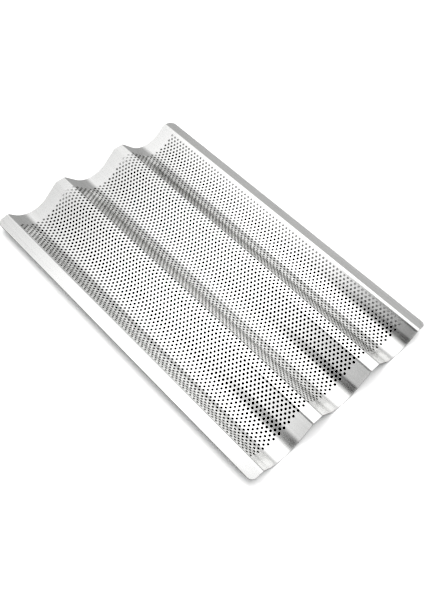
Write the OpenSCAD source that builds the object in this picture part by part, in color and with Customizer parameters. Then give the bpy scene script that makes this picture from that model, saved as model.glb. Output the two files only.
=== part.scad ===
// Baguette tray: one sheet of steel pressed into three round troughs with two flat-topped ridges between
// them and a plain flange along each side.
// X runs along the troughs, Y across them and Z up. The origin is on the surface that the tray stands on,
// under the middle of the tray. All sizes are in millimetres and all angles in degrees.
// The sheet is drawn in regions that meet face to face where a straight wall runs into a bend.

/* [Sheet] */
// Length of the tray along its troughs
tray_length = 380; // [250:5:450]
// Thickness of the sheet
sheet_t = 0.8; // [0.5:0.1:1.2]

/* [Troughs] */
// Inside radius of a trough's round floor
trough_r = 29; // [22:0.5:34]
// Height of the ridge tops above the trough floors
trough_depth = 21.8; // [18:0.2:32]
// Slope of the straight walls above the round floor
wall_angle = 44; // [36:1:48]

/* [Ridges] */
// Width of the flat top between a ridge's two bends
ridge_flat = 8.2; // [2:0.2:30]
// Outside radius of the bends beside a ridge top
ridge_bend_r = 4.5; // [2:0.1:5]

/* [Flanges] */
// Height of the two outer crests above the trough floors
crest_height = 15.3; // [14:0.1:18]
// Outside radius of the bend at an outer crest
crest_bend_r = 4.9; // [2:0.1:6]
// Width of a flange from the end of its bend to its outer edge
flange_width = 11.3; // [5:0.1:25]
// Slope of a flange down to its outer edge
flange_slope = 14.8; // [1:0.2:30]
// Radius of the four rounded outer corners, seen from above
corner_r = 6; // [1:0.5:12]

/* [Hidden] */
$fn = 128;
// How far a cutting shape runs past what it cuts
spare = 1;
// How far each half of a round floor runs past the middle, so that the two halves are one piece
floor_lap_a = 5;
ridge_top = sheet_t + trough_depth;
crest_top = sheet_t + crest_height;
// Lengths of the straight walls: a full one runs up to a ridge, an outer one up to a crest
full_wall = (trough_depth - (trough_r + ridge_bend_r) * (1 - cos(wall_angle))) / sin(wall_angle);
outer_wall = (crest_height - (trough_r + crest_bend_r) * (1 - cos(wall_angle))) / sin(wall_angle);
// Distance from a trough's middle to the centre of the bend at the top of each kind of wall
ridge_bend_y = (trough_r + ridge_bend_r) * sin(wall_angle) + full_wall * cos(wall_angle);
crest_bend_y = (trough_r + crest_bend_r) * sin(wall_angle) + outer_wall * cos(wall_angle);
trough_pitch = 2 * ridge_bend_y + ridge_flat;
// Width of a flange and its bend seen from above, and the tray's outer edge
flange_run = crest_bend_r * sin(flange_slope) + flange_width * cos(flange_slope);
outer_edge_y = trough_pitch + crest_bend_y + flange_run;
corner_cut_r = min(corner_r, flange_run);

// A bend of the sheet and the straight stretch that it runs into. The bend turns about the origin and ends
// straight below it, and the straight stretch carries on from there to the right.
module bend_and_straight(inner_r, turn, straight) {
    outer_r = inner_r + sheet_t;
    reach = 2 * outer_r / cos(turn / 4);
    intersection() {
        difference() {
            circle(r = outer_r);
            circle(r = inner_r);
        }
        polygon([
            [0, 0],
            reach * [-sin(turn), -cos(turn)],
            reach * [-sin(turn / 2), -cos(turn / 2)],
            reach * [0, -1]
        ]);
    }
    translate([0, -outer_r])
        square([straight, sheet_t]);
}

// Half of a trough's section: its round floor, from just past the middle, and the wall on the right
module half_trough_section(wall) {
    translate([0, sheet_t + trough_r])
        rotate(wall_angle)
            bend_and_straight(trough_r, wall_angle + floor_lap_a, wall);
}

module trough_section(left_wall, right_wall) {
    half_trough_section(right_wall);
    mirror([1, 0])
        half_trough_section(left_wall);
}

// Half of a ridge's section: the bend at the top of the wall on its left, and the flat top up to the middle
module half_ridge_section() {
    translate([-ridge_flat / 2, ridge_top - ridge_bend_r])
        mirror([0, 1])
            bend_and_straight(ridge_bend_r - sheet_t, wall_angle, ridge_flat / 2);
}

module ridge_section() {
    half_ridge_section();
    mirror([1, 0])
        half_ridge_section();
}

// A flange's section, from the centre of its bend outwards to the right
module flange_section() {
    translate([0, crest_top - crest_bend_r])
        rotate(-flange_slope)
            mirror([0, 1])
                bend_and_straight(crest_bend_r - sheet_t, wall_angle + flange_slope, flange_width);
}

// Draws a section, given across and up, along the whole length of the tray
module along_tray(y) {
    translate([0, y, 0])
        rotate([90, 0, 90])
            linear_extrude(height = tray_length, center = true)
                children();
}

// What is cut away to round the outer corner at one end of the right side
module corner_cut() {
    translate([tray_length / 2 - corner_cut_r, outer_edge_y - corner_cut_r, -spare])
        difference() {
            cube([corner_cut_r + spare, corner_cut_r + spare, ridge_top + 2 * spare]);
            cylinder(r = corner_cut_r, h = ridge_top + 2 * spare);
        }
}

module flange_on_right() {
    difference() {
        along_tray(trough_pitch + crest_bend_y)
            flange_section();
        corner_cut();
        mirror([1, 0, 0])
            corner_cut();
    }
}

module left_flange() {
    color("gainsboro")
        mirror([0, 1, 0])
            flange_on_right();
}

module left_trough() {
    color("lightgray")
        along_tray(-trough_pitch)
            trough_section(outer_wall, full_wall);
}

module left_ridge() {
    color("gainsboro")
        along_tray(-trough_pitch / 2)
            ridge_section();
}

module middle_trough() {
    color("lightgray")
        along_tray(0)
            trough_section(full_wall, full_wall);
}

module right_ridge() {
    color("gainsboro")
        along_tray(trough_pitch / 2)
            ridge_section();
}

module right_trough() {
    color("lightgray")
        along_tray(trough_pitch)
            trough_section(full_wall, outer_wall);
}

module right_flange() {
    color("gainsboro")
        flange_on_right();
}

left_flange();
left_trough();
left_ridge();
middle_trough();
right_ridge();
right_trough();
right_flange();
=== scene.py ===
import math

import bpy
import numpy as np
from mathutils import Matrix, Vector


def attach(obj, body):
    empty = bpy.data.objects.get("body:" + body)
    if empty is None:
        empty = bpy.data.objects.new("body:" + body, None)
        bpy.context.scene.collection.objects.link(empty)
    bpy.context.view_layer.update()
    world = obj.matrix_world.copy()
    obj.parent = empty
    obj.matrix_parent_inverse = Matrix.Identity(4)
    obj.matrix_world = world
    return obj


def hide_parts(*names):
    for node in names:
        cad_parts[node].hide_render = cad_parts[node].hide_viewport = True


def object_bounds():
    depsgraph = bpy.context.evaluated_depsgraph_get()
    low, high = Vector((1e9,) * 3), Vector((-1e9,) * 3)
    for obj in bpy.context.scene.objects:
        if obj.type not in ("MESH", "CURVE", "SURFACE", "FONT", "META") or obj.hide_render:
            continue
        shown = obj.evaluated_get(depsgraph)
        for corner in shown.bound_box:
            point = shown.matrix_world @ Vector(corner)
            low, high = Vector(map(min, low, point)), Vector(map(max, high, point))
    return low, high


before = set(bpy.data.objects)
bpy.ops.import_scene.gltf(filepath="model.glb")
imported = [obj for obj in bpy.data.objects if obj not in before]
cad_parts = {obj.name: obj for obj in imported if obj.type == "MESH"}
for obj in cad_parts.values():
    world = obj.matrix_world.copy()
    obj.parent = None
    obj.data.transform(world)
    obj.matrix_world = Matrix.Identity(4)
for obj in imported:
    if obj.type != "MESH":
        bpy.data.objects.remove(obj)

cadLow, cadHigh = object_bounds()
trayLength = cadHigh.x - cadLow.x


def operator(operation, swapped=False):
    def act(wire, value):
        pair = (value, wire) if swapped else (wire, value)
        return wire.maker.maths(operation, *pair)
    return act


class Wire:  # one output of a node, which can stand in a sum
    def __init__(self, maker, socket):
        self.maker = maker
        self.socket = socket

    def other(self, name):  # another output of the same node
        outputs = self.socket.node.outputs
        return Wire(self.maker, next(s for s in outputs if s.enabled and s.name == name))

    def __abs__(self):
        return self.maker.maths("ABSOLUTE", self)

    def __neg__(self):
        return self.maker.maths("MULTIPLY", self, -1.0)

    __add__ = operator("ADD")
    __radd__ = operator("ADD", True)
    __sub__ = operator("SUBTRACT")
    __rsub__ = operator("SUBTRACT", True)
    __mul__ = operator("MULTIPLY")
    __rmul__ = operator("MULTIPLY", True)
    __truediv__ = operator("DIVIDE")
    __rtruediv__ = operator("DIVIDE", True)
    __gt__ = operator("GREATER_THAN")
    __lt__ = operator("LESS_THAN")
    __mod__ = operator("FLOORED_MODULO")


class Maker:  # adds nodes to one tree
    def __init__(self, tree):
        self.tree = tree

    def put(self, socket, value):
        if isinstance(value, Wire):
            self.tree.links.new(value.socket, socket)
        else:
            socket.default_value = value

    def add(self, kind, settings=None, inputs=None, out=None):
        node = self.tree.nodes.new(kind)
        for name, value in (settings or {}).items():
            setattr(node, name, value)
        for name, value in (inputs or {}).items():
            if isinstance(name, int):
                socket = node.inputs[name]
            else:
                socket = next(s for s in node.inputs if s.enabled and s.name == name)
            for one in value if isinstance(value, list) else [value]:
                self.put(socket, one)
        if not node.outputs:
            return node
        enabled = [s for s in node.outputs if s.enabled]
        return Wire(self, next(s for s in enabled if out is None or s.name == out))

    def maths(self, operation, *values):
        return self.add("ShaderNodeMath", {"operation": operation}, dict(enumerate(values)))

    def vector(self, x=0.0, y=0.0, z=0.0):
        return self.add("ShaderNodeCombineXYZ", inputs={"X": x, "Y": y, "Z": z})


# the pressed section
sheet = {
    "thickness": 0.0008,
    "floorRadius": 0.029,  # inside a trough
    "wallAngle": math.radians(44),
    "troughDepth": 0.0218,  # from a trough's floor to a ridge's top
    "ridgeFlat": 0.0082,
    "ridgeBendRadius": 0.0045,
    "crestHeight": 0.0153,  # from a trough's floor to an outer crest
    "crestBendRadius": 0.0049,
    "flangeWidth": 0.0113,  # from the end of the crest's bend to the outer edge
    "flangeSlope": math.radians(14.8),
    "cornerRadius": 0.006,
    "edgeEase": 0.00012,  # how far the cut edges are rounded
    "edgeSteps": 2,
}


def wallLength(rise, bendRadius):  # the straight wall that is left between two bends
    angle = sheet["wallAngle"]
    return (rise - (sheet["floorRadius"] + bendRadius) * (1 - math.cos(angle))) / math.sin(angle)


def sectionStretches():  # length and turn of each stretch, from the tray's middle out to one side
    angle, slope = sheet["wallAngle"], sheet["flangeSlope"]
    floorRadius, bend, crest = sheet["floorRadius"], sheet["ridgeBendRadius"], sheet["crestBendRadius"]
    fullWall = wallLength(sheet["troughDepth"], bend)
    return [
        (floorRadius * angle, angle),
        (fullWall, 0),
        (bend * angle, -angle),
        (sheet["ridgeFlat"], 0),
        (bend * angle, -angle),
        (fullWall, 0),
        (2 * floorRadius * angle, 2 * angle),
        (wallLength(sheet["crestHeight"], crest), 0),
        (crest * (angle + slope), -angle - slope),
        (sheet["flangeWidth"], 0),
    ]


def walkSection(step=0.00005):  # distance along the sheet's upper face, place across, height and slope
    along, across, up, slope = [0.0], [0.0], [sheet["thickness"]], [0.0]
    for length, turn in sectionStretches():
        count = math.ceil(length / step)
        small = turn / count
        chord = length / count * (math.sin(small / 2) / (small / 2) if turn else 1)
        for _ in range(count):
            heading = slope[-1] + small / 2
            along.append(along[-1] + length / count)
            across.append(across[-1] + chord * math.cos(heading))
            up.append(up[-1] + chord * math.sin(heading))
            slope.append(slope[-1] + small)
    half = np.array([along, across, up, slope])
    mirrored = half[:, :0:-1] * np.array([[-1], [-1], [1], [-1]])
    return np.concatenate([mirrored, half], axis=1)


section = walkSection()
halfBlank = section[0, -1]  # half the width of the flat blank
print("section walked:", round(halfBlank * 2, 4), "wide flat,", round(section[1, -1] * 2, 4), "pressed")


def sectionCurve():  # the section as a curve, for the press to follow
    curve = bpy.data.curves.new("pressSection", "CURVE")
    curve.dimensions = "3D"
    spline = curve.splines.new("POLY")
    spline.points.add(section.shape[1] - 1)
    points = np.zeros((section.shape[1], 4))
    points[:, 1], points[:, 2], points[:, 3] = section[1], section[2], 1
    spline.points.foreach_set("co", points.ravel())
    obj = bpy.data.objects.new("pressSection", curve)
    bpy.context.scene.collection.objects.link(obj)
    return obj


# the perforation
holes = {
    "perRow": 71,
    "rows": 72,
    "pitch": 0.004872,  # along a row
    "rowPitch": 0.003513,  # from one row to the next, measured round the bends
    "diameter": 0.0025,
    "ridgeRows": (11, 16),  # rows from the tray's middle to where a ridge begins and ends
}
cellSteps = 4  # edges along each side of a punched cell, which the plain sheet beside it matches


def punchedCell():  # one hole with its share of the sheet, flat: a ring of faces out to a rectangle
    stepX, stepY = holes["pitch"] / cellSteps, holes["rowPitch"] / cellSteps
    half = cellSteps // 2
    lattice = [(half, y) for y in range(half)]
    lattice += [(x, half) for x in range(half, -half, -1)]
    lattice += [(-half, y) for y in range(half, 0, -1)]
    lattice += [(-x, -y) for x, y in lattice]
    outer = [(x * stepX, y * stepY, 0) for x, y in lattice]
    count = len(lattice)
    radius = holes["diameter"] / 2
    turns = [2 * math.pi * k / count for k in range(count)]
    inner = [(math.cos(a) * radius, math.sin(a) * radius, 0) for a in turns]
    faces = [(k, (k + 1) % count, count + (k + 1) % count, count + k) for k in range(count)]
    mesh = bpy.data.meshes.new("punchedCell")
    mesh.from_pydata(inner + outer, [], [tuple(reversed(f)) for f in faces])
    return mesh


# the tree that lays out and presses a region
treeInputs = [
    ("Geometry", "NodeSocketGeometry"),
    ("First Row", "NodeSocketInt"),
    ("Rows", "NodeSocketInt"),
    ("Holes Per Row", "NodeSocketInt"),
    ("Hole Pitch", "NodeSocketFloat"),
    ("Row Pitch", "NodeSocketFloat"),
    ("Tray Length", "NodeSocketFloat"),
    ("Half Blank", "NodeSocketFloat"),
    ("Field Edge", "NodeSocketFloat"),
    ("Flange Side", "NodeSocketFloat"),
    ("Flange Width", "NodeSocketFloat"),
    ("Flange Slope", "NodeSocketFloat"),
    ("Corner Radius", "NodeSocketFloat"),
    ("Thickness", "NodeSocketFloat"),
    ("Section", "NodeSocketObject"),
    ("Material", "NodeSocketMaterial"),
]
division = {
    "cornerColumns": 7,  # how many faces each plain stretch gets, along the tray
    "marginColumns": 3,
    "bendLines": 14,  # and across it
    "flangeLines": 6,
    "sharpAngle": math.radians(38),  # edges that turn further stay sharp
    "weld": 0.00001,  # points nearer than this become one
    "passes": 6,  # to find where on the section a point lies
    "facing": 0.97,  # how nearly a face has to follow the sheet to take the normals of a round bend
}


def plainBlock(maker, x0, x1, columns, s0, s1, lines):  # a flat grid of plain sheet
    grid = maker.add("GeometryNodeMeshGrid", inputs={
        "Size X": x1 - x0, "Size Y": s1 - s0, "Vertices X": columns + 1, "Vertices Y": lines + 1})
    middle = maker.vector((x0 + x1) / 2, (s0 + s1) / 2)
    return maker.add("GeometryNodeTransform", inputs={"Geometry": grid, "Translation": middle})


def sheetTree(name, withFlange):
    tree = bpy.data.node_groups.new(name, "GeometryNodeTree")
    for label, kind in treeInputs:
        tree.interface.new_socket(label, in_out="INPUT", socket_type=kind)
    tree.interface.new_socket("Geometry", in_out="OUTPUT", socket_type="NodeSocketGeometry")
    m = Maker(tree)
    given = m.add("NodeGroupInput")
    cell = given.other("Geometry")
    firstRow, rows, perRow = (given.other(n) for n in ("First Row", "Rows", "Holes Per Row"))
    pitch, rowPitch, length = (given.other(n) for n in ("Hole Pitch", "Row Pitch", "Tray Length"))
    halfBlankIn, fieldEdge, side = (given.other(n) for n in ("Half Blank", "Field Edge", "Flange Side"))
    flangeWidth, corner = given.other("Flange Width"), given.other("Corner Radius")

    # holes, in rows that start half a pitch apart
    index = m.add("GeometryNodeInputIndex")
    rowOfHole = m.maths("FLOOR", (index + 0.5) / perRow)
    stagger = 1 - 2 * ((firstRow + rowOfHole) % 2)
    holeX = (index - rowOfHole * perRow - (perRow - 1) / 2) * pitch + stagger * pitch / 4
    places = m.vector(holeX, (firstRow + rowOfHole + 0.5) * rowPitch)
    points = m.add("GeometryNodePoints", inputs={"Count": rows * perRow, "Position": places})
    punched = m.add("GeometryNodeInstanceOnPoints", inputs={"Points": points, "Instance": cell})

    # half a plain cell at the end that each row leaves short
    rowStagger = 1 - 2 * ((firstRow + index) % 2)
    places = m.vector(rowStagger * perRow * pitch / -2, (firstRow + index + 0.5) * rowPitch)
    points = m.add("GeometryNodePoints", inputs={"Count": rows, "Position": places})
    halfCell = m.add("GeometryNodeMeshGrid", inputs={
        "Size X": pitch / 2, "Size Y": rowPitch,
        "Vertices X": cellSteps // 2 + 1, "Vertices Y": cellSteps + 1})
    fillers = m.add("GeometryNodeInstanceOnPoints", inputs={"Points": points, "Instance": halfCell})

    # plain margins at both ends, and the plain flange
    fieldX = (perRow / 2 + 0.25) * pitch
    bendX = length / 2 - corner
    endX = length / 2
    margins = [
        (-endX, -bendX, division["cornerColumns"]),
        (-bendX, -fieldX, division["marginColumns"]),
        (fieldX, bendX, division["marginColumns"]),
        (bendX, endX, division["cornerColumns"]),
    ]
    low, high = firstRow * rowPitch, (firstRow + rows) * rowPitch
    parts = [punched, fillers]
    parts += [plainBlock(m, a, b, c, low, high, rows * cellSteps) for a, b, c in margins]
    if withFlange:
        allAlong = margins + [(-fieldX, fieldX, perRow * cellSteps + cellSteps // 2)]
        flangeStart = halfBlankIn - flangeWidth
        for inner, outer, lines in ((fieldEdge, flangeStart, division["bendLines"]),
                                    (flangeStart, halfBlankIn, division["flangeLines"])):
            middle, half = (inner + outer) / 2 * side, (outer - inner) / 2
            parts += [plainBlock(m, a, b, c, middle - half, middle + half, lines) for a, b, c in allAlong]
    flat = m.add("GeometryNodeJoinGeometry", inputs={"Geometry": parts[::-1]})
    flat = m.add("GeometryNodeRealizeInstances", inputs={"Geometry": flat})
    flat = m.add("GeometryNodeMergeByDistance", inputs={"Geometry": flat, "Distance": division["weld"]})

    # thickness: a second face below, walls round the holes and the edges
    down = m.add("GeometryNodeExtrudeMesh", inputs={
        "Mesh": flat, "Offset": m.vector(0.0, 0.0, -1.0), "Offset Scale": given.other("Thickness"),
        "Individual": False})
    down = m.add("GeometryNodeStoreNamedAttribute", {"data_type": "FLOAT", "domain": "FACE"},
                 {"Geometry": down, "Name": "cutEdge", "Value": down.other("Side")})
    under = m.add("GeometryNodeFlipFaces", inputs={"Mesh": down})
    solid = m.add("GeometryNodeJoinGeometry", inputs={"Geometry": [under, flat]})
    solid = m.add("GeometryNodeMergeByDistance", inputs={"Geometry": solid, "Distance": division["weld"]})

    # the cut edges are marked for rounding, and the flat place is kept as a map for the grain
    ends = m.add("GeometryNodeInputMeshEdgeVertices", out="Position 1")
    first = m.add("ShaderNodeSeparateXYZ", inputs={"Vector": ends})
    second = m.add("ShaderNodeSeparateXYZ", inputs={"Vector": ends.other("Position 2")})
    atEnd = m.maths("MINIMUM", abs(first), abs(second)) > endX - division["weld"]
    outerS = m.maths("MINIMUM", abs(first.other("Y")), abs(second.other("Y")))
    atSide = outerS > halfBlankIn - division["weld"]
    level = abs(first.other("Z") - second.other("Z")) < division["weld"]
    rim = m.maths("MAXIMUM", atEnd, atSide) * level
    solid = m.add("GeometryNodeStoreNamedAttribute", {"data_type": "FLOAT", "domain": "EDGE"},
                  {"Geometry": solid, "Name": "bevel_weight_edge", "Value": rim})
    place = m.add("GeometryNodeInputPosition")
    solid = m.add("GeometryNodeStoreNamedAttribute", {"data_type": "FLOAT2", "domain": "CORNER"},
                  {"Geometry": solid, "Name": "sheetMap", "Value": place})

    # round corners: the last columns close up along a quarter circle
    spot = m.add("ShaderNodeSeparateXYZ", inputs={"Vector": place})
    turn = m.maths("MAXIMUM", abs(spot) - bendX, 0.0) / corner * (math.pi / 2)
    inward = m.maths("MINIMUM", abs(spot), bendX)
    newX = m.maths("SIGN", spot) * (inward + corner * m.maths("SINE", turn))
    flangeStart = halfBlankIn - flangeWidth
    lost = corner * (1 - m.maths("COSINE", turn)) / m.maths("COSINE", given.other("Flange Slope"))
    s = abs(spot.other("Y"))
    beyond = m.maths("MAXIMUM", s - flangeStart, 0.0)
    newS = m.maths("SIGN", spot.other("Y")) * (s - beyond * lost / flangeWidth)
    solid = m.add("GeometryNodeSetPosition", inputs={
        "Geometry": solid, "Position": m.vector(newX, newS, spot.other("Z"))})

    # the press: every point goes to its distance along the section, and off it by its depth in the sheet
    press = m.add("GeometryNodeObjectInfo", {"transform_space": "ORIGINAL"},
                  {"Object": given.other("Section")}, out="Geometry")
    on = m.add("GeometryNodeSampleCurve", {"mode": "LENGTH"},
               {"Curves": press, "Length": spot.other("Y") + halfBlankIn}, out="Position")
    centre = m.add("ShaderNodeSeparateXYZ", inputs={"Vector": on}, out="Y")
    tangent = m.add("ShaderNodeSeparateXYZ", inputs={"Vector": on.other("Tangent")}, out="Y")
    depth = spot.other("Z")
    pressed = m.vector(spot, centre - tangent.other("Z") * depth, centre.other("Z") + tangent * depth)
    solid = m.add("GeometryNodeSetPosition", inputs={"Geometry": solid, "Position": pressed})

    # smooth all over, but for the sharp edges
    angle = m.add("GeometryNodeInputMeshEdgeAngle", out="Unsigned Angle")
    solid = m.add("GeometryNodeSetShadeSmooth", {"domain": "FACE"},
                  {"Geometry": solid, "Shade Smooth": True})
    solid = m.add("GeometryNodeSetShadeSmooth", {"domain": "EDGE"},
                  {"Geometry": solid, "Shade Smooth": angle < division["sharpAngle"]})
    solid = m.add("GeometryNodeSetMaterial", inputs={
        "Geometry": solid, "Material": given.other("Material")})
    m.add("NodeGroupOutput", inputs={"Geometry": solid})
    return tree


def setInputs(modifier, values):  # by each socket's identifier
    for item in modifier.node_group.interface.items_tree:
        if item.in_out == "INPUT" and item.name in values:
            modifier[item.identifier] = values[item.name]


def smoothBends(mesh):  # the normals of a truly round bend on both faces of the sheet
    count = len(mesh.vertices)
    spots = np.empty(count * 3)
    mesh.vertices.foreach_get("co", spots)
    y, z = spots[1::3], spots[2::3]
    s = np.interp(y, section[1], section[0])
    for _ in range(division["passes"]):
        slope = np.interp(s, section[0], section[3])
        offY = y - np.interp(s, section[0], section[1])
        offZ = z - np.interp(s, section[0], section[2])
        s = s + offY * np.cos(slope) + offZ * np.sin(slope)
    slope = np.interp(s, section[0], section[3])
    upward = np.stack([np.zeros(count), -np.sin(slope), np.cos(slope)], axis=1)
    corners, faces = len(mesh.loops), len(mesh.polygons)
    vertexOf, faceNormal = np.empty(corners, int), np.empty(faces * 3)
    starts, totals = np.empty(faces, int), np.empty(faces, int)
    mesh.loops.foreach_get("vertex_index", vertexOf)
    mesh.polygons.foreach_get("normal", faceNormal)
    mesh.polygons.foreach_get("loop_start", starts)
    mesh.polygons.foreach_get("loop_total", totals)
    faceOf = np.repeat(np.arange(faces), totals)
    cornerUp = upward[vertexOf]
    agree = (cornerUp * faceNormal.reshape(-1, 3)[faceOf]).sum(axis=1)
    facing = np.where(np.abs(agree) > division["facing"], np.sign(agree), 0.0)
    mesh.normals_split_custom_set((cornerUp * facing[:, None]).tolist())


# the sheet's steel: satin, with a fine grain along the troughs
steel = {
    "tone": 0.80,
    "warmth": 0.006,  # how much less blue than red
    "toneSpread": 0.09,
    "toneMix": (0.4, 0.3, 0.3),  # shares of the streaks, the long streaks and the clouds
    "roughness": 0.21,
    "roughnessSpread": 0.09,
    "roughnessMix": (0.5, 0.6, 0.5, 0.4),  # the same, and the wipe marks
    "grainAlong": 45.0,  # streaks to the metre, along the grain
    "grainAcross": 2600.0,
    "longAlong": 8,  # how much longer the long streaks are
    "longAcross": 6,  # how much wider
    "longDepth": 0.5,  # how much as deep
    "grainDepth": 0.0000006,
    "clouds": 28.0,  # faint clouds to the metre, left by rolling
    "wipeStretch": 3,  # how much longer and narrower the wipe marks are than the clouds
    "drawDepth": 0.000007,  # how far the sheet's face waves where it was drawn over the press
    "cutToneAndShade": 0.32,  # sheared and punched edges are duller, and darker still as painted shade in the holes and along the outer edge
    "cutRoughness": 0.42,
    "rimWidth": 0.0007,  # where the shears rolled the outer edge over, darkened with painted shade as a thin edge line
    "wearWidth": 0.004,  # the handled band along the outer edges
    "wearTone": -0.03,
    "wearRoughness": 0.08,
}


def steelMaterial():
    material = bpy.data.materials.new("satinSteel")
    material.use_nodes = True
    tree = material.node_tree
    tree.nodes.clear()
    m = Maker(tree)
    flat = m.add("ShaderNodeUVMap", {"uv_map": "sheetMap"})

    def noise(scaleX, scaleY, detail, roughness, offset):  # the offset keeps the noises unlike each other
        place = m.add("ShaderNodeMapping", inputs={
            "Vector": flat, "Location": (offset, offset, offset), "Scale": (scaleX, scaleY, 1)})
        return m.add("ShaderNodeTexNoise", {"noise_dimensions": "2D"}, {
            "Vector": place, "Scale": 1.0, "Detail": detail, "Roughness": roughness}, out="Fac")

    def mixed(noises, shares):  # centred on 0
        total = noises[0] * shares[0]
        for one, share in zip(noises[1:], shares[1:]):
            total = total + one * share
        return total - sum(shares) / 2

    along, across = steel["grainAlong"], steel["grainAcross"]
    cloud, stretch = steel["clouds"], steel["wipeStretch"]
    streaks = noise(along, across, detail=3.0, roughness=0.6, offset=0.0)
    longStreaks = noise(
        along / steel["longAlong"], across / steel["longAcross"], detail=2.0, roughness=0.5, offset=3.0)
    clouds = noise(cloud, cloud, detail=3.0, roughness=0.55, offset=7.0)
    wipes = noise(cloud / stretch, cloud * stretch, detail=2.0, roughness=0.5, offset=11.0)
    noises = [streaks, longStreaks, clouds, wipes]
    tone = steel["tone"] + steel["toneSpread"] * mixed(noises, steel["toneMix"])
    rough = steel["roughness"] + steel["roughnessSpread"] * mixed(noises, steel["roughnessMix"])
    spot = m.add("ShaderNodeSeparateXYZ", inputs={"Vector": flat})
    toEdge = m.maths("MINIMUM", trayLength / 2 - abs(spot), halfBlank - abs(spot.other("Y")))
    worn = m.add("ShaderNodeMapRange", {"interpolation_type": "SMOOTHSTEP"}, {
        "Value": toEdge + (streaks - 0.5) * steel["wearWidth"],
        "From Min": steel["wearWidth"], "From Max": 0.0})
    rim = m.add("ShaderNodeMapRange", {"interpolation_type": "SMOOTHSTEP"}, {
        "Value": toEdge, "From Min": steel["rimWidth"], "From Max": steel["rimWidth"] / 2})
    # the cut faces and the rim band take the cut tone: partly duller sheared steel, partly painted shade
    # in the holes and along the outer edge
    cut = m.maths("MAXIMUM", m.add("ShaderNodeAttribute", {"attribute_name": "cutEdge"}, out="Fac"), rim)
    tone = tone + worn * steel["wearTone"]
    tone = tone + (steel["cutToneAndShade"] - tone) * cut
    rough = rough + worn * steel["wearRoughness"]
    rough = rough + (steel["cutRoughness"] - rough) * cut
    height = streaks + longStreaks * steel["longDepth"]
    grained = m.add("ShaderNodeBump", inputs={
        "Strength": 1.0, "Distance": steel["grainDepth"], "Height": height})
    drawn = m.add("ShaderNodeBump", inputs={
        "Strength": 1.0, "Distance": steel["drawDepth"], "Height": wipes, "Normal": grained})
    colour = m.add("ShaderNodeCombineColor", inputs={
        "Red": tone, "Green": tone, "Blue": tone - steel["warmth"]})
    shader = m.add("ShaderNodeBsdfPrincipled", inputs={
        "Base Color": colour, "Metallic": 1.0, "Roughness": rough, "Normal": drawn})
    m.add("ShaderNodeOutputMaterial", inputs={"Surface": shader})
    return material


# the regions of the sheet
def makeRegions():
    metal = steelMaterial()
    press = sectionCurve()
    half = holes["rows"] // 2
    ridge = holes["ridgeRows"]
    regions = {  # first row, and the row after the last
        "left_flange": (-half, 1 - half),
        "left_trough": (1 - half, -ridge[1]),
        "left_ridge": (-ridge[1], -ridge[0]),
        "middle_trough": (-ridge[0], ridge[0]),
        "right_ridge": (ridge[0], ridge[1]),
        "right_trough": (ridge[1], half - 1),
        "right_flange": (half - 1, half),
    }
    trees = {True: sheetTree("pressFlange", True), False: sheetTree("pressTrough", False)}
    cell = punchedCell()
    for node, (first, last) in regions.items():
        isFlange = "flange" in node
        source = bpy.data.objects.new("flat_" + node, cell)
        bpy.context.scene.collection.objects.link(source)
        modifier = source.modifiers.new("press", "NODES")
        modifier.node_group = trees[isFlange]
        setInputs(modifier, {
            "First Row": first, "Rows": last - first, "Holes Per Row": holes["perRow"],
            "Hole Pitch": holes["pitch"], "Row Pitch": holes["rowPitch"], "Tray Length": trayLength,
            "Half Blank": halfBlank, "Field Edge": half * holes["rowPitch"],
            "Flange Side": -1.0 if first < 0 else 1.0, "Flange Width": sheet["flangeWidth"],
            "Flange Slope": sheet["flangeSlope"], "Corner Radius": sheet["cornerRadius"],
            "Thickness": sheet["thickness"], "Section": press, "Material": metal,
        })
        ease = source.modifiers.new("ease", "BEVEL")
        ease.limit_method = "WEIGHT"
        ease.width, ease.segments = sheet["edgeEase"], sheet["edgeSteps"]
        pressed = source.evaluated_get(bpy.context.evaluated_depsgraph_get())
        mesh = bpy.data.meshes.new_from_object(pressed)
        source.modifiers.clear()
        bpy.data.objects.remove(source)
        mesh.name = node + "_sheet"
        smoothBends(mesh)
        piece = bpy.data.objects.new(node + "_sheet", mesh)
        bpy.context.scene.collection.objects.link(piece)
        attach(piece, "root")
        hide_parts(node)
        mesh.calc_loop_triangles()
        print("pressed", node, "with", len(mesh.loop_triangles), "triangles")
    bpy.data.objects.remove(press)


makeRegions()

# floor, light and camera
studio = {
    "floorSize": 60.0,
    "floorTone": 0.9,
    "floorRoughness": 0.9,
    "floorSpecular": 0.1,
    "lamp": 1.6,  # a wide overhead lamp, which the steel doesn't mirror
    "lampSpread": math.radians(40),
    "shadeTone": 0.08,  # painted shade on the floor under the tray
    "shadeFront": (0.008, 0.016),  # how far inside the +X and -Y edges the shade begins and is full
    "shadeBack": (0.0, 0.03),  # the same at the -X and +Y edges
    "tent": 1.9,
    "patches": [  # brightness, and from where to where it fades in along each axis of the direction
        {"level": 1.25, "edges": [("X", -0.25, -0.17)]},
        {"level": 1.05, "edges": [("X", -0.14, 0.05)]},
        {"level": 0.68, "edges": [("X", -0.1, 0.15), ("Z", 0.75, 0.15)]},
        {"level": 0.76, "edges": [("X", -0.38, -0.63)]},
        {"level": 1.05, "edges": [("X", -0.3, -0.55), ("Y", 0.1, 0.6), ("Z", 1.0, 0.5)]},
        {"level": 0.3, "edges": [("X", -0.38, -0.6), ("Y", 0.25, 0.6), ("Z", 0.6, 0.25)]},
        {"level": 0.56, "edges": [("X", 0.4, 0.0), ("Y", 0.52, 0.85), ("Z", 0.7, 0.4)]},
        {"level": 0.7, "edges": [("X", -0.34, -0.15), ("X", 0.2, 0.0), ("Y", -0.6, -0.8)]},
        {"level": 0.0, "edges": [
            ("X", -0.37, -0.17), ("X", 0.2, 0.0), ("Y", -0.02, -0.44), ("Y", -0.91, -0.7)]},
        {"level": 0.5, "edges": [("Z", 0.1, -0.05)]},  # below the horizon
    ],
    "exposure": 0.0,
    "blackLevel": 0.14,  # what is no brighter shows black
    "whiteLevel": 0.95,  # and from here on white
}
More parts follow.
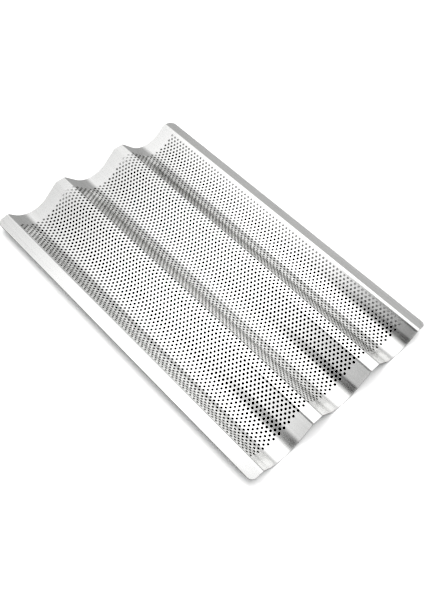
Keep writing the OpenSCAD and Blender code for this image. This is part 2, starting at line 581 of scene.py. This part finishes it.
camera = {
    "lens": 44.0,
    "sensor": 36.0,
    "aim": (0.0287, -0.0177, 0.011),
    "distance": 0.7304,
    "azimuth": math.radians(42.19),
    "elevation": math.radians(55.0),
    "roll": math.radians(5.83),
    "clip": (0.01, 100.0),
}


def makeFloor():  # pale, with painted shade where the tray covers it, so that the holes read dark
    material = bpy.data.materials.new("paleFloor")
    material.use_nodes = True
    tree = material.node_tree
    tree.nodes.clear()
    m = Maker(tree)
    place = m.add("ShaderNodeTexCoord", out="Object")
    along = m.add("ShaderNodeSeparateXYZ", inputs={"Vector": place})

    def covered(inside, band):  # from the distance inside an edge
        return m.add("ShaderNodeMapRange", {"interpolation_type": "SMOOTHSTEP"}, {
            "Value": inside, "From Min": band[0], "From Max": band[1]})

    front, back = studio["shadeFront"], studio["shadeBack"]
    across = along.other("Y")
    shade = covered(cadHigh.x - along, front) * covered(across - cadLow.y, front)
    shade = shade * covered(along - cadLow.x, back) * covered(cadHigh.y - across, back)
    tone = studio["floorTone"] + (studio["shadeTone"] - studio["floorTone"]) * shade
    shader = m.add("ShaderNodeBsdfPrincipled", inputs={
        "Base Color": m.vector(tone, tone, tone), "Roughness": studio["floorRoughness"],
        "Specular IOR Level": studio["floorSpecular"]})
    m.add("ShaderNodeOutputMaterial", inputs={"Surface": shader})
    half = studio["floorSize"] / 2
    mesh = bpy.data.meshes.new("studioFloor")
    corners = [(-half, -half, 0), (half, -half, 0), (half, half, 0), (-half, half, 0)]
    mesh.from_pydata(corners, [], [(0, 1, 2, 3)])
    mesh.materials.append(material)
    floor = bpy.data.objects.new("studioFloor", mesh)
    floor.visible_glossy = False  # the steel mirrors the tent above and below
    bpy.context.scene.collection.objects.link(floor)


def makeWorld():  # a white tent with greyer parts and one dark gap, each set by direction
    world = bpy.data.worlds.new("studio")
    world.use_nodes = True
    tree = world.node_tree
    tree.nodes.clear()
    m = Maker(tree)
    towards = m.add("ShaderNodeTexCoord", out="Generated")
    along = m.add("ShaderNodeSeparateXYZ", inputs={"Vector": towards})

    def fade(axis, gone, full):  # 0 where the direction's part along an axis is gone, 1 where it is full
        return m.add("ShaderNodeMapRange", {"interpolation_type": "SMOOTHSTEP"}, {
            "Value": along.other(axis), "From Min": gone, "From Max": full})

    brightness = studio["tent"]
    for patch in studio["patches"]:
        mask = 1.0
        for axis, gone, full in patch["edges"]:
            mask = fade(axis, gone, full) * mask
        brightness = brightness + (patch["level"] - brightness) * mask
    background = m.add("ShaderNodeBackground", inputs={"Color": (1, 1, 1, 1), "Strength": brightness})
    m.add("ShaderNodeOutputWorld", inputs={"Surface": background})
    bpy.context.scene.world = world


def makeLamp():
    data = bpy.data.lights.new("overhead", "SUN")
    data.energy, data.angle = studio["lamp"], studio["lampSpread"]
    obj = bpy.data.objects.new("overhead", data)
    obj.location = (0, 0, 1)
    obj.visible_glossy = False
    bpy.context.scene.collection.objects.link(obj)


def makeCamera():
    data = bpy.data.cameras.new("camera")
    data.lens, data.sensor_width = camera["lens"], camera["sensor"]
    data.clip_start, data.clip_end = camera["clip"]
    obj = bpy.data.objects.new("camera", data)
    bpy.context.scene.collection.objects.link(obj)
    azimuth, elevation = camera["azimuth"], camera["elevation"]
    back = Vector((math.sin(azimuth) * math.cos(elevation), -math.cos(azimuth) * math.cos(elevation),
                   math.sin(elevation)))
    turned = (-back).to_track_quat("-Z", "Y").to_matrix() @ Matrix.Rotation(camera["roll"], 3, "Z")
    place = Vector(camera["aim"]) + back * camera["distance"]
    obj.matrix_world = Matrix.Translation(place) @ turned.to_4x4()
    bpy.context.scene.camera = obj


def makeView():  # plain colours, with the black and white points drawn in
    view = bpy.context.scene.view_settings
    view.view_transform = "Standard"
    view.exposure = studio["exposure"]
    view.use_curve_mapping = True
    view.curve_mapping.black_level = (studio["blackLevel"],) * 3
    view.curve_mapping.white_level = (studio["whiteLevel"],) * 3
    view.curve_mapping.update()


makeFloor()
makeWorld()
makeLamp()
makeCamera()
makeView()
print("studio ready")
